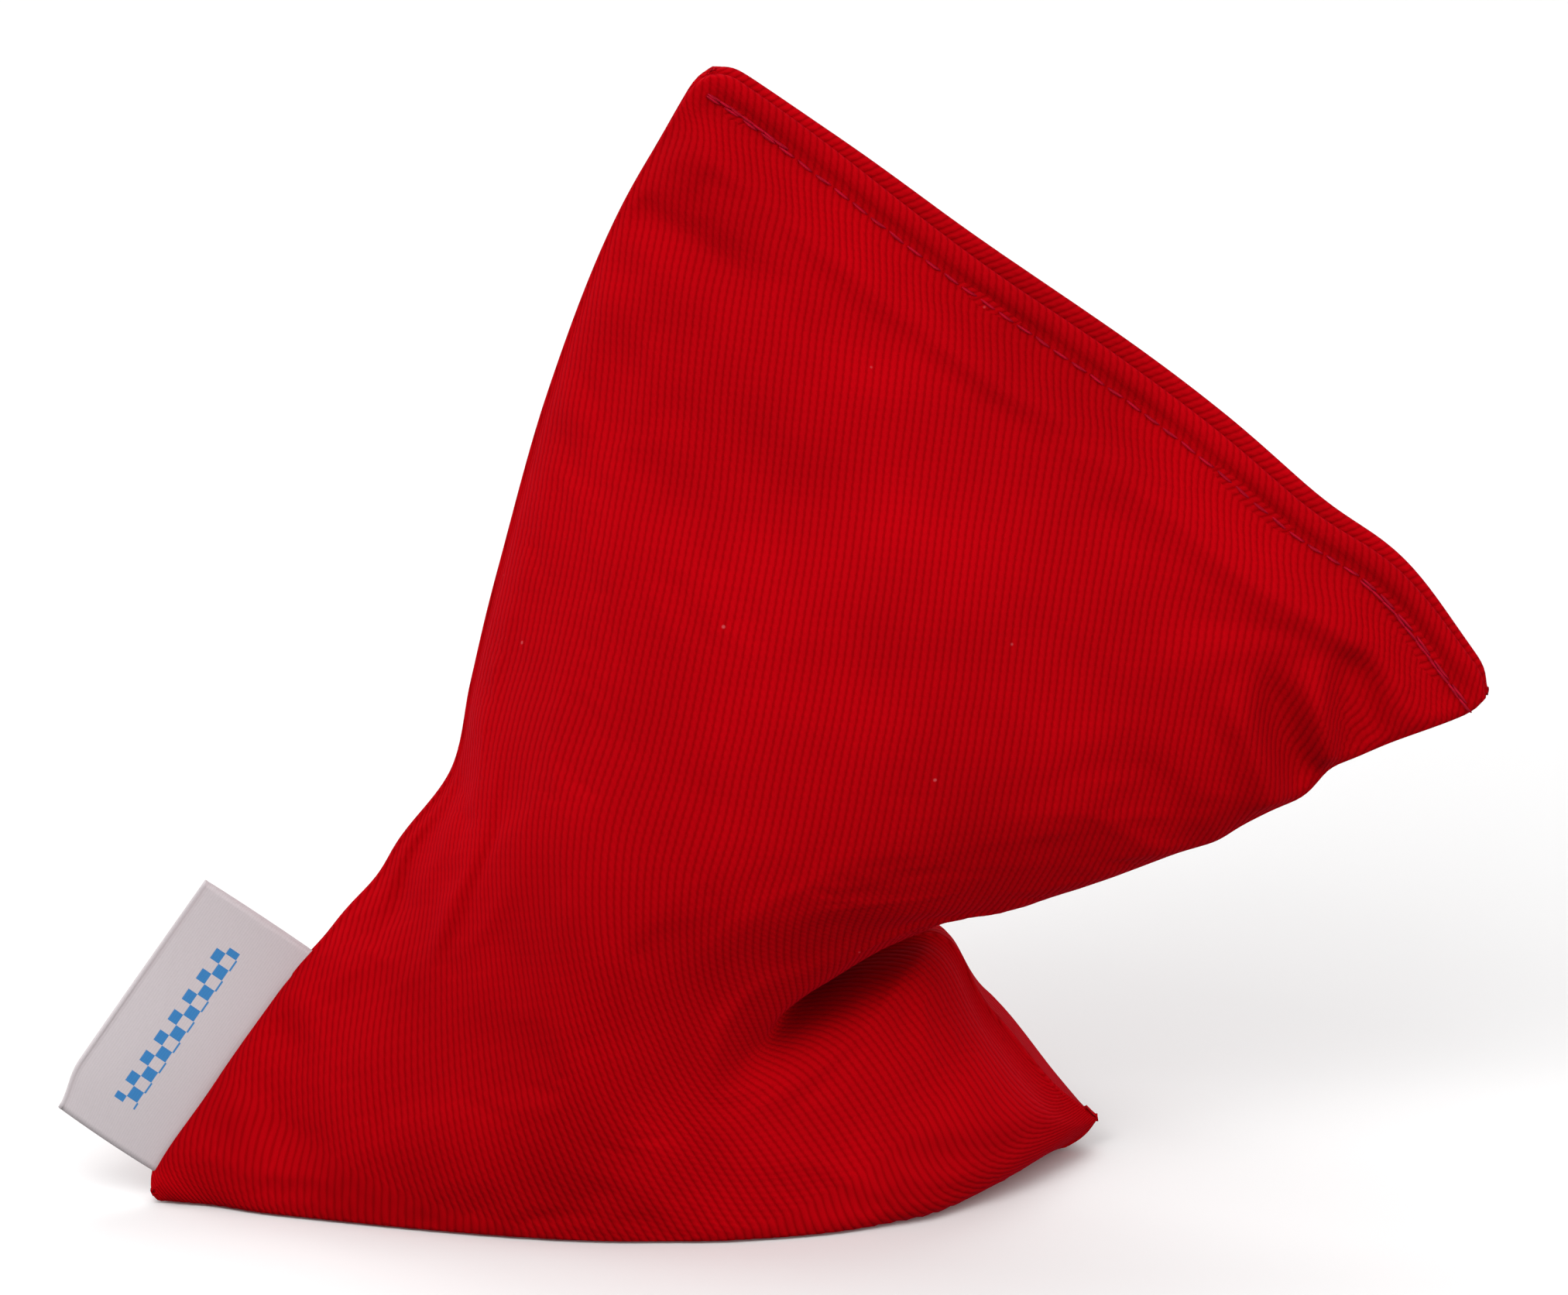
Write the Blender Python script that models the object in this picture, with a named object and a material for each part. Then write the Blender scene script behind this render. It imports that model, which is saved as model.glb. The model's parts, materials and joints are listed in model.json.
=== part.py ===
"""Filled gym bean bag, slumped on its short end.

Two cotton twill panels with turned-in borders, a mass of granules between them, a folded ribbon
label caught in one long seam, and the sewing threads. Lengths are in millimetres inside the helper
functions and are turned into metres when a mesh is made. +X runs along the floor, +Z is up and the
front panel faces -Y.

A point on a panel is given by two fractions: across (0 at the label side, 1 at the folded side)
and along (0 at the floor end, 1 at the closing edge). A straight line of constant 'along' is
called a rung.
"""
import math

import bmesh
import bpy
from mathutils import Vector

MM = 0.001

# Driving sizes of the flat bag, millimetres
BAG_LENGTH = 150.0
BAG_WIDTH = 100.0
CLOTH = 0.6
BORDER_DEPTH = 4.5
HEM_DEPTH = 9.0
MITRE = 0.36
LABEL_WIDTH = 27.0
LABEL_REACH = 10.0
LABEL_TAPE = 0.3
STITCH_PITCH = 2.5
TOPSTITCH_INSET = 3.2
THREAD = 0.36
FILL_LEVEL = 0.86
FILL_COLUMNS = 12
FILL_ROWS = 18

# Clearances, millimetres
GAP = 0.3
FOLD_ROOM = 0.65
THREAD_GAP = 0.12
FILL_GAP = 0.9
FILL_CREASE = 7.0
CORNER_KEEP = 20.0
CREASE_KEEP = 8.0

# Lay-up from the middle plane outwards: half the gap, turned-in border, fold room, outer cloth
TURN_RADIUS = 0.5 * (CLOTH + FOLD_ROOM)
BORDER_LAYER = 0.5 * GAP + 0.5 * CLOTH
TURN_LAYER = BORDER_LAYER + TURN_RADIUS
OUTER_LAYER = BORDER_LAYER + 2.0 * TURN_RADIUS

# The slump, as rungs from the floor end to the closing edge. Columns: along; middle of the rung
# as x and z over the bag length; rung span over the bag width; rung slope in degrees; sag over
# the bag length; half thickness over the bag width; depth of the label side and of the folded
# side over the bag width; tuck of the folded side as x and z over the bag length.
RUNGS = (
    (0.00, -0.106, 0.011, 0.958, 1.2, 0.090, 0.000, -0.105, 0.048, 0.000, 0.000),
    (0.04, -0.113, 0.037, 0.900, 0.6, 0.089, 0.148, -0.085, 0.046, -0.006, 0.004),
    (0.10, -0.116, 0.078, 0.794, -0.5, 0.085, 0.205, -0.065, 0.050, -0.002, 0.017),
    (0.22, -0.112, 0.140, 0.611, -8.0, 0.065, 0.220, -0.045, 0.035, 0.009, 0.046),
    (0.31, -0.110, 0.176, 0.500, -19.5, 0.045, 0.225, -0.025, 0.015, -0.027, 0.016),
    (0.38, -0.100, 0.217, 0.425, -28.0, 0.012, 0.227, -0.010, 0.000, 0.032, 0.012),
    (0.45, -0.073, 0.260, 0.485, -31.5, 0.000, 0.225, 0.000, -0.010, 0.042, 0.010),
    (0.55, -0.030, 0.304, 0.604, -36.2, 0.000, 0.210, 0.005, -0.020, 0.017, 0.009),
    (0.70, 0.048, 0.388, 0.784, -38.0, -0.006, 0.170, 0.015, -0.030, 0.000, 0.005),
    (0.85, 0.128, 0.477, 0.924, -39.0, -0.018, 0.095, 0.025, -0.040, 0.000, 0.005),
    (1.00, 0.214, 0.565, 1.017, -39.3, -0.030, 0.000, 0.030, -0.050, 0.000, 0.000),
)
CREASE_ALONG = 0.31
CREASE_LEAN = 0.05
CREASE_SPREAD = 0.06
CREASE_DEPTH = 0.70
CREASE_START = 0.55
TUCK_SHARE = 0.85
FLOOR_SKEW = 0.34
NARROW_BORDER = 0.75
TIGHT_SPREAD = 0.09


def rung_values(along):
    """Station columns at a fraction along the bag, by Catmull-Rom interpolation."""
    last = len(RUNGS) - 1
    low = 0
    while low < last - 1 and RUNGS[low + 1][0] < along:
        low += 1
    before = RUNGS[max(low - 1, 0)]
    start = RUNGS[low]
    end = RUNGS[low + 1]
    after = RUNGS[min(low + 2, last)]
    step = end[0] - start[0]
    t = (along - start[0]) / step
    values = []
    for column in range(1, len(start)):
        slope_start = (end[column] - before[column]) / (end[0] - before[0]) * step
        slope_end = (after[column] - start[column]) / (after[0] - start[0]) * step
        value = (2 * t ** 3 - 3 * t ** 2 + 1) * start[column] + (t ** 3 - 2 * t ** 2 + t) * slope_start
        value += (-2 * t ** 3 + 3 * t ** 2) * end[column] + (t ** 3 - t ** 2) * slope_end
        values.append(value)
    return values


def ramp(value):
    """0 below 0, 1 above 1 and a smooth rise between."""
    value = min(max(value, 0.0), 1.0)
    return value * value * (3.0 - 2.0 * value)


def bell(value, centre, spread):
    """1 at the centre, falling off to both sides."""
    return math.exp(-((value - centre) / spread) ** 2)


def fold_strength(across):
    """How far the inward fold reaches: 1 at the folded side, 0 at mid panel."""
    return ramp((across - CREASE_START) / (1.0 - CREASE_START))


def middle(across, along):
    """Point of the middle surface; the tuck pulls the folded side into its inward fold."""
    mid_x, mid_z, span, slope, sag, half, near, far, tuck_x, tuck_z = rung_values(along)
    reach = (across - 0.5) * span * BAG_WIDTH
    slope = math.radians(slope)
    inside = min(max(across, 0.0), 1.0)
    fold = TUCK_SHARE * fold_strength(across)
    x = (mid_x + fold * tuck_x) * BAG_LENGTH + reach * math.cos(slope)
    z = (mid_z + fold * tuck_z) * BAG_LENGTH + reach * math.sin(slope)
    z -= sag * BAG_LENGTH * 4.0 * inside * (1.0 - inside)
    y = (near + (far - near) * across) * BAG_WIDTH
    return x, y, z


def crease(across, along, spread):
    """Strength of the fold between the upper and the lower lobe, growing to 1 at the folded side."""
    return fold_strength(across) * bell(along, CREASE_ALONG - CREASE_LEAN * (1.0 - across), spread)


def bulge(across, along):
    """How far the cloth stands out from the middle surface beyond the seam lay-up."""
    half = rung_values(min(max(along, 0.0), 1.0))[5] * BAG_WIDTH
    offset = 2.0 * min(max(across, 0.0), 1.0) - 1.0
    power = 0.48 + 0.12 * min(max(along / 0.4, 0.0), 1.0)
    power += 0.35 * bell(along, 0.27, 0.09) * ramp(-offset / 0.6)
    power -= 0.20 * bell(along, 0.03, 0.12) * ramp(offset / 0.5)
    profile = (1.0 - offset * offset) ** power
    profile *= 1.0 + FLOOR_SKEW * offset * bell(along, 0.06, 0.14)
    return max(half, 0.0) * profile * (1.0 - CREASE_DEPTH * crease(across, along, CREASE_SPREAD))


def panel_point(side, across, along, lift=0.0):
    """Centre of the outer cloth; lift moves it outwards, side is -1 at the front, 1 at the back."""
    x, y, z = middle(across, along)
    y += side * (OUTER_LAYER + bulge(across, along) + lift)
    return x, y, max(z, 0.5 * CLOTH - lift)


def inward(across, along, edge):
    """Unit direction from a seam point into the bag, square to the seam in the upright plane."""
    step = 0.01
    if edge in ("left", "right"):
        low = middle(across, along - step)
        high = middle(across, along + step)
    else:
        low = middle(across - step, along)
        high = middle(across + step, along)
    run_x = high[0] - low[0]
    run_z = high[2] - low[2]
    if edge == "floor" and low[2] < CLOTH:
        run_z = 0.0
    size = math.hypot(run_x, run_z)
    turn = 1.0 if edge in ("right", "floor") else -1.0
    return -turn * run_z / size, 0.0, turn * run_x / size


def border_point(side, across, along, edge, depth, layer):
    """Point of a turned-in border: depth into the bag from the seam, layer off the middle."""
    x, y, z = middle(across, along)
    z = max(z, 0.5 * CLOTH)
    direction = inward(across, along, edge)
    return (
        x + direction[0] * depth,
        y + direction[1] * depth + side * layer,
        max(z + direction[2] * depth, 0.5 * CLOTH),
    )


def spaced(count, ends):
    """Fractions from 0 to 1: fine steps at both ends given in ends, even steps between."""
    inner = [ends[-1] + (1.0 - 2.0 * ends[-1]) * step / count for step in range(1, count)]
    return [0.0] + list(ends) + inner + [1.0 - value for value in reversed(ends)] + [1.0]


ACROSS = spaced(16, (0.014, 0.045))
ALONG = spaced(25, (0.010, 0.030))
ALONG += [0.5 * (low + high) for low, high in zip(ALONG, ALONG[1:]) if 0.14 < low < 0.48]
ALONG.sort()


def make_object(name, bm, colour, roughness, parent=None):
    """Turn a bmesh in millimetres into a named object with its own material."""
    bmesh.ops.recalc_face_normals(bm, faces=bm.faces)
    bmesh.ops.scale(bm, vec=(MM, MM, MM), verts=bm.verts)
    mesh = bpy.data.meshes.new(name)
    bm.to_mesh(mesh)
    bm.free()
    mesh.polygons.foreach_set("use_smooth", [True] * len(mesh.polygons))
    material = bpy.data.materials.new(name)
    material.use_nodes = True
    shader = material.node_tree.nodes["Principled BSDF"]
    shader.inputs["Base Color"].default_value = (*colour, 1.0)
    shader.inputs["Roughness"].default_value = roughness
    shader.inputs["Metallic"].default_value = 0.0
    mesh.materials.append(material)
    item = bpy.data.objects.new(name, mesh)
    bpy.context.collection.objects.link(item)
    item.parent = parent
    return item


def border_depth(fraction, span, full):
    """Depth of a border at a fraction of its edge, mitred towards both corners."""
    return max(0.4, min(full, MITRE * span * min(fraction, 1.0 - fraction)))


def add_strip(bm, outer_row, inner_rows):
    """Faces between a row of the outer cloth and the rows of its turned-in border."""
    previous = outer_row
    for points in inner_rows:
        current = [bm.verts.new(point) for point in points]
        for index in range(len(points) - 1):
            bm.faces.new((previous[index], previous[index + 1], current[index + 1], current[index]))
        previous = current


def build_panel(name, side, colour):
    """One twill panel: outer cloth, and a turned-in border on all four edges, as a thin shell."""
    bm = bmesh.new()
    grid = []
    for along in ALONG:
        grid.append([bm.verts.new(panel_point(side, across, along)) for across in ACROSS])
    for row in range(len(ALONG) - 1):
        for column in range(len(ACROSS) - 1):
            bm.faces.new((
                grid[row][column], grid[row][column + 1],
                grid[row + 1][column + 1], grid[row + 1][column],
            ))
    for edge in ("left", "right", "floor", "closing"):
        if edge in ("left", "right"):
            across = 0.0 if edge == "left" else 1.0
            column = 0 if edge == "left" else len(ACROSS) - 1
            outer_row = [grid[row][column] for row in range(2, len(ALONG) - 1)]
            places = [(across, along) for along in ALONG[2:-1]]
            depths = [border_depth(along, BAG_LENGTH, BORDER_DEPTH) for along in ALONG[2:-1]]
            if edge == "right":
                narrow = [1.0 - NARROW_BORDER * bell(along, 0.30, 0.14) for along in ALONG[2:-1]]
                depths = [depth * share for depth, share in zip(depths, narrow)]
        else:
            along = 0.0 if edge == "floor" else 1.0
            row = 0 if edge == "floor" else len(ALONG) - 1
            outer_row = [grid[row][column] for column in range(2, len(ACROSS) - 2)]
            places = [(across, along) for across in ACROSS[2:-2]]
            full = BORDER_DEPTH if edge == "floor" else HEM_DEPTH
            depths = [border_depth(across, BAG_WIDTH, full) for across in ACROSS[2:-2]]
        turn = []
        for across, along in places:
            # the cloth cannot roll outwards inside the sharp fold
            roll = TURN_RADIUS * (1.0 - fold_strength(across) * bell(along, CREASE_ALONG, TIGHT_SPREAD))
            turn.append(border_point(side, across, along, edge, -roll, TURN_LAYER))
        start = [border_point(side, *place, edge, 0.0, BORDER_LAYER) for place in places]
        finish = [
            border_point(side, *place, edge, depth, BORDER_LAYER)
            for place, depth in zip(places, depths)
        ]
        add_strip(bm, outer_row, (turn, start, finish))
    bmesh.ops.recalc_face_normals(bm, faces=bm.faces)
    item = make_object(name, bm, colour, 0.85)
    shell = item.modifiers.new("cloth thickness", "SOLIDIFY")
    shell.thickness = CLOTH * MM
    shell.offset = 0.0
    return item


def floor_seam_depth(x):
    """Where the seam of the floor end stands in depth, above a place along the floor."""
    mid_x, mid_z, span, slope, sag, half, near, far, tuck_x, tuck_z = rung_values(0.0)
    across = 0.5 + (x - mid_x * BAG_LENGTH) / (span * BAG_WIDTH)
    return (near + (far - near) * across) * BAG_WIDTH


def build_filling():
    """The granules as one mass inside both panels, grooved round the turned-in borders."""
    bm = bmesh.new()
    inset = 0.5 * CLOTH + FILL_GAP
    groove = BORDER_LAYER + 0.5 * CLOTH + FILL_GAP + 0.7
    floor_level = CLOTH + FILL_GAP

    def place(column, row, edge, end):
        """Fractions of a grid point when the sides stop edge mm and the floor end stops end mm in."""
        low = end / BAG_LENGTH
        along = low + (FILL_LEVEL - low) * row / FILL_ROWS
        edge += CORNER_KEEP * max(0.0, 1.0 - row / 4.0)
        span = rung_values(along)[2] * BAG_WIDTH
        left = edge / span
        right = (edge + CREASE_KEEP * math.exp(-((along - 0.33) / 0.13) ** 2)) / span
        return left + (1.0 - left - right) * column / FILL_COLUMNS, along

    border = [(0, column) for column in range(FILL_COLUMNS)]
    border += [(row, FILL_COLUMNS) for row in range(FILL_ROWS)]
    border += [(FILL_ROWS, column) for column in range(FILL_COLUMNS, 0, -1)]
    border += [(row, 0) for row in range(FILL_ROWS, 0, -1)]
    core = []
    for row, column in border:
        x, y, z = middle(*place(column, row, BORDER_DEPTH + 4.0, 9.0))
        if row <= 2:
            y = floor_seam_depth(x)
        core.append(bm.verts.new((x, y, max(z, BORDER_DEPTH + 2.6))))
    for side in (-1, 1):
        grid = []
        for row in range(FILL_ROWS + 1):
            line = []
            for column in range(FILL_COLUMNS + 1):
                across, along = place(column, row, 5.0, 3.0)
                deeper = FILL_CREASE * crease(across, along, 2.0 * CREASE_SPREAD)
                x, y, z = panel_point(side, across, along, -inset - deeper)
                z = max(middle(across, along)[2], floor_level)
                base = middle(across, along)[1]
                reach = max(abs(y - base), groove + 0.3)
                line.append(bm.verts.new((x, base + side * reach, z)))
            grid.append(line)
        for row in range(FILL_ROWS):
            for column in range(FILL_COLUMNS):
                bm.faces.new((
                    grid[row][column], grid[row][column + 1],
                    grid[row + 1][column + 1], grid[row + 1][column],
                ))
        wall = []
        for row, column in border:
            x, y, z = middle(*place(column, row, 6.0, 4.5))
            if row <= 2:
                y = floor_seam_depth(x)
            wall.append(bm.verts.new((x, y + side * groove, max(z, floor_level + 0.4))))
        for index in range(len(border)):
            after = (index + 1) % len(border)
            row, column = border[index]
            next_row, next_column = border[after]
            bm.faces.new((
                grid[row][column], grid[next_row][next_column], wall[after], wall[index],
            ))
            bm.faces.new((wall[index], wall[after], core[after], core[index]))
    return make_object("granule_filling", bm, (0.80, 0.78, 0.72), 0.55)


def add_cord(bm, points, radius, sides):
    """A closed cord round a line of points, with flat end caps."""
    rings = []
    for index, point in enumerate(points):
        before = points[max(index - 1, 0)]
        after = points[min(index + 1, len(points) - 1)]
        run = [after[axis] - before[axis] for axis in range(3)]
        size = math.sqrt(sum(value * value for value in run))
        run = [value / size for value in run]
        # two directions square to the run, starting from the thickness direction
        dot = run[1]
        out = [-run[0] * dot, 1.0 - run[1] * dot, -run[2] * dot]
        size = math.sqrt(sum(value * value for value in out))
        out = [value / size for value in out]
        flank = (
            run[1] * out[2] - run[2] * out[1],
            run[2] * out[0] - run[0] * out[2],
            run[0] * out[1] - run[1] * out[0],
        )
        ring = []
        for step in range(sides):
            angle = 2.0 * math.pi * step / sides
            ring.append(bm.verts.new(tuple(
                point[axis] + radius * (math.cos(angle) * out[axis] + math.sin(angle) * flank[axis])
                for axis in range(3)
            )))
        rings.append(ring)
    for first, second in zip(rings, rings[1:]):
        for step in range(sides):
            after = (step + 1) % sides
            bm.faces.new((first[step], first[after], second[after], second[step]))
    bm.faces.new(rings[0])
    bm.faces.new(rings[-1])


def build_topstitch(name, side):
    """Thread of the closing row on one face, bowed up between the needle holes."""
    count = int(BAG_WIDTH / STITCH_PITCH)
    along = 1.0 - TOPSTITCH_INSET / BAG_LENGTH
    rest = 0.5 * CLOTH + THREAD_GAP + 0.5 * THREAD
    points = []
    for step in range(2 * count + 1):
        across = 0.015 + 0.97 * step / (2.0 * count)
        bow = 0.22 if step % 2 else 0.08
        points.append(panel_point(side, across, along, rest + bow))
    bm = bmesh.new()
    add_cord(bm, points, 0.5 * THREAD, 5)
    return make_object(name, bm, (0.62, 0.02, 0.05), 0.6)


def build_seam_thread(name, side):
    """Thread of the three-sided seam, lying on one turned-in border just inside the fold."""
    depth = 1.5
    layer = BORDER_LAYER + 0.5 * CLOTH + THREAD_GAP + 0.5 * THREAD
    points = []
    for along in reversed(ALONG[2:-2]):
        points.append(border_point(side, 0.0, along, "left", depth, layer))
    for across in ACROSS[2:-2]:
        x, y, z = border_point(side, across, 0.0, "floor", depth, layer)
        points.append((x, y, max(z, CLOTH + THREAD_GAP + THREAD)))
    for along in ALONG[2:-2]:
        points.append(border_point(side, 1.0, along, "right", depth, layer))
    bm = bmesh.new()
    add_cord(bm, points, 0.5 * THREAD, 5)
    return make_object(name, bm, (0.62, 0.02, 0.05), 0.6)


def label_frame():
    """Root of the label on the label-side seam: bottom point, seam direction, outward direction."""
    low = middle(0.0, 0.020)
    high = middle(0.0, 0.25)
    run = [high[axis] - low[axis] for axis in range(3)]
    size = math.sqrt(sum(value * value for value in run))
    run = [value / size for value in run]
    out = (-run[2], 0.0, run[0])
    size = math.sqrt(out[0] ** 2 + out[2] ** 2)
    return low, run, tuple(value / size for value in out)


def build_label():
    """A ribbon folded on itself: two layers joined by the fold at the outer end."""
    low, run, out = label_frame()
    start = TURN_RADIUS + 0.5 * CLOTH + GAP + 0.9
    half = 0.5 * LABEL_TAPE + 0.12
    section = [(0.0, -half), (LABEL_REACH * 0.5, -half * 1.5), (LABEL_REACH * 0.85, -half * 1.8)]
    for step in range(5):
        angle = math.radians(-60.0 + 30.0 * step)
        section.append((
            LABEL_REACH - half * 1.8 + half * 1.8 * math.cos(angle),
            half * 1.8 * math.sin(angle),
        ))
    section += [(reach, -level) for reach, level in reversed(section[:3])]
    bm = bmesh.new()
    lines = []
    for step in range(7):
        place = LABEL_WIDTH * step / 6.0
        lines.append([
            bm.verts.new(tuple(
                low[axis] + run[axis] * place + out[axis] * (start + reach)
                + (level if axis == 1 else 0.0)
                for axis in range(3)
            ))
            for reach, level in section
        ])
    for first, second in zip(lines, lines[1:]):
        for index in range(len(section) - 1):
            bm.faces.new((first[index], first[index + 1], second[index + 1], second[index]))
    item = make_object("side_label", bm, (0.72, 0.70, 0.70), 0.5)
    tape = item.modifiers.new("tape thickness", "SOLIDIFY")
    tape.thickness = LABEL_TAPE * 0.6 * MM
    tape.offset = 0.0
    hinge = [low[axis] + run[axis] * 0.5 * LABEL_WIDTH + out[axis] * (start - 0.4) for axis in range(3)]
    return item, hinge, run


def finish_shell(item):
    """Make the thickness real and set the underside exactly on the floor."""
    bpy.context.view_layer.objects.active = item
    item.select_set(True)
    bpy.ops.object.modifier_apply(modifier=item.modifiers[0].name)
    item.select_set(False)
    for vertex in item.data.vertices:
        if vertex.co.z < 0.04 * MM:
            vertex.co.z = 0.0


def centre(items):
    """Move the meshes so that the origin is the middle of the bag's footprint on the floor."""
    places = [vertex.co for item in items for vertex in item.data.vertices]
    shift = [-0.5 * (min(co[axis] for co in places) + max(co[axis] for co in places)) for axis in (0, 1)]
    for item in items:
        for vertex in item.data.vertices:
            vertex.co.x += shift[0]
            vertex.co.y += shift[1]
    return shift


def set_origin(item, point):
    """Put an object's origin on a point in metres without moving its mesh in space."""
    for vertex in item.data.vertices:
        vertex.co -= point
    item.location = point


for old in list(bpy.data.objects):
    bpy.data.objects.remove(old, do_unlink=True)

front = build_panel("front_panel", -1, (0.43, 0.0, 0.006))
back = build_panel("back_panel", 1, (0.43, 0.0, 0.006))
label, label_hinge, label_run = build_label()
pieces = [
    front,
    back,
    build_filling(),
    build_topstitch("closing_needle_thread", -1),
    build_topstitch("closing_bobbin_thread", 1),
    build_seam_thread("seam_needle_thread", -1),
    build_seam_thread("seam_bobbin_thread", 1),
    label,
]
for shell_item in (front, back, label):
    finish_shell(shell_item)
moved = centre(pieces)
set_origin(label, Vector((
    label_hinge[0] * MM + moved[0],
    label_hinge[1] * MM + moved[1],
    label_hinge[2] * MM,
)))
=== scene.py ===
"""Filled gym bean bag of red cotton twill, slumped on one short end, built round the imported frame.

Lengths inside the shape functions are millimetres and become metres in new_piece(). A place on a
cloth panel is given by two fractions: 'across', 0 at the label side and 1 at the folded side, and
'along', 0 at the floor end and 1 at the closing edge. A line of constant 'along' is a rung.
"""
import math

import bmesh
import bpy
import numpy as np
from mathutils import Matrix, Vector
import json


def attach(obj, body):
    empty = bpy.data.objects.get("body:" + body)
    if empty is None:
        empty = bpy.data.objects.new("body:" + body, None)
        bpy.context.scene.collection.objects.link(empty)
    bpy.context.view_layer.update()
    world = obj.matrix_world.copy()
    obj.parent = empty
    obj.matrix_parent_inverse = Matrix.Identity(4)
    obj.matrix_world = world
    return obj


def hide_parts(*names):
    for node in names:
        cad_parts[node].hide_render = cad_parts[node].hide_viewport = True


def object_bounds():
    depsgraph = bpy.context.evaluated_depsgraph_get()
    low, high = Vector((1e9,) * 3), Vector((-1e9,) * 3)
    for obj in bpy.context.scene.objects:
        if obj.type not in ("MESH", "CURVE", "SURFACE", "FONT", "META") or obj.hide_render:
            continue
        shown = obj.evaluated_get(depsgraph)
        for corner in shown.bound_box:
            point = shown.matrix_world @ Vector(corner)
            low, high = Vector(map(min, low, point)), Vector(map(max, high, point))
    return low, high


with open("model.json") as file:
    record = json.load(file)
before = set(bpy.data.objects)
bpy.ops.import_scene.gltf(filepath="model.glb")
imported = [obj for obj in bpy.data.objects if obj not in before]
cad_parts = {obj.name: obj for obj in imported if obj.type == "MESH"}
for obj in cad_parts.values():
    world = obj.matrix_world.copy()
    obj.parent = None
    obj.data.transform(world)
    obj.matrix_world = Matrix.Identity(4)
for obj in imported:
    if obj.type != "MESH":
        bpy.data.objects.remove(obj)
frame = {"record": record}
CAD_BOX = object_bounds()

bl_info = {
    "name": "Twill bean bag",
    "version": (1, 0, 0),
    "blender": (4, 5, 0),
    "location": "View3D > Sidebar > Bean Bag",
    "description": "Builds the cloth, sewing, label and filling of a slumped gym bean bag",
    "category": "Object",
}

MM = 0.001
FRONT = -1
BACK = 1

# The slump as rungs from the floor end to the closing edge. Columns: along; middle of the rung as
# x and z over the bag length; rung span over the bag width; rung slope in degrees; sag over the
# bag length; half thickness over the bag width; depth of the label side and of the folded side
# over the bag width; tuck of the folded side as x and z over the bag length. These are the
# stations that the CAD solids were lofted through.
RUNGS = np.array((
    (0.00, -0.106, 0.011, 0.958, 1.2, 0.090, 0.000, -0.105, 0.048, 0.000, 0.000),
    (0.04, -0.113, 0.037, 0.900, 0.6, 0.089, 0.148, -0.085, 0.046, -0.006, 0.004),
    (0.10, -0.116, 0.078, 0.794, -0.5, 0.085, 0.205, -0.065, 0.050, -0.002, 0.017),
    (0.22, -0.112, 0.140, 0.611, -8.0, 0.065, 0.220, -0.045, 0.035, 0.009, 0.046),
    (0.31, -0.110, 0.176, 0.500, -19.5, 0.045, 0.225, -0.025, 0.015, -0.027, 0.016),
    (0.38, -0.100, 0.217, 0.425, -28.0, 0.012, 0.227, -0.010, 0.000, 0.032, 0.012),
    (0.45, -0.073, 0.260, 0.485, -31.5, 0.000, 0.225, 0.000, -0.010, 0.042, 0.010),
    (0.55, -0.030, 0.304, 0.604, -36.2, 0.000, 0.210, 0.005, -0.020, 0.017, 0.009),
    (0.70, 0.048, 0.388, 0.784, -38.0, -0.006, 0.170, 0.015, -0.030, 0.000, 0.005),
    (0.85, 0.128, 0.477, 0.924, -39.0, -0.018, 0.095, 0.025, -0.040, 0.000, 0.005),
    (1.00, 0.214, 0.565, 1.017, -39.3, -0.030, 0.000, 0.030, -0.050, 0.000, 0.000),
))
CREASE_ALONG = 0.31
CREASE_SPREAD = 0.038

# Millimetres. Outer cloth face to the middle surface beside a seam and at the closing edge, half
# the gap between the two panels, the seam's distance from the edge, the label of the CAD, and
# the hinge's distance outside the label side.
SEAM_OFFSET = 0.53
LIP_OFFSET = 1.25
SEAM_GAP = 0.03
SEAM_INSET = 4.0
CAD_LABEL = 27.0
HINGE_OUT = 1.725
FLOOR_GAP = 0.02
FLOOR_PRESS = 0.4
CORNER_ROUND = 3.2
CORNER_CUT = 0.8

# Share of the rungs that the cloth takes up; the turned lip takes the rest.
CLOTH_SHARE = 0.993

# Panel grid, and the depths in millimetres of the rows of cloth turned in behind each edge.
COLUMNS = 132
ROWS = 196
TURN_ANGLES = (30.0, 60.0, 90.0, 120.0, 150.0, 180.0)
SIDE_ROWS = (0.7, 1.6, 2.8)
HEM_ROWS = (0.8, 2.0, 4.0, 6.5)
FLOOR_ROWS = (0.7, 1.6)
TURN_TAPER = 0.9
TURN_TAPER_REACH = 1.6
UPRIGHT = (1.0, 0.0, 1.0)

# UV units hold this many millimetres of cloth or ribbon; the back panel starts further along.
UV_SCALE = 100.0
BACK_UV_SHIFT = 37.0

# Short cloth simulation: settings, frames, and the most any point moves in millimetres.
SETTLE = {
    "quality": 6,
    "mass": 0.15,
    "tension_stiffness": 18.0,
    "compression_stiffness": 18.0,
    "shear_stiffness": 6.0,
    "bending_stiffness": 0.35,
    "air_damping": 3.0,
    "shrink_min": -0.004,
    "vertex_group_mass": "sewn",
    "pin_stiffness": 1.0,
    "use_pressure": True,
    "uniform_pressure_force": 0.25,
}
SETTLE_FRAMES = 9
SETTLE_CAP = 0.5
SETTLE_FLOOR = 0.0003

# Closing row: first and last stitch across the bag, lengths sewn twice at its ends, their
# spacing in stitches, how far they stand off the row in millimetres, stitch share of its pitch.
ROW_START = 0.012
ROW_END = 0.985
TACK_START = 0.085
TACK_END = 0.135
TACK_PITCH = 0.6
TACK_OFF = 0.32
STITCH_SHARE = 0.78

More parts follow.
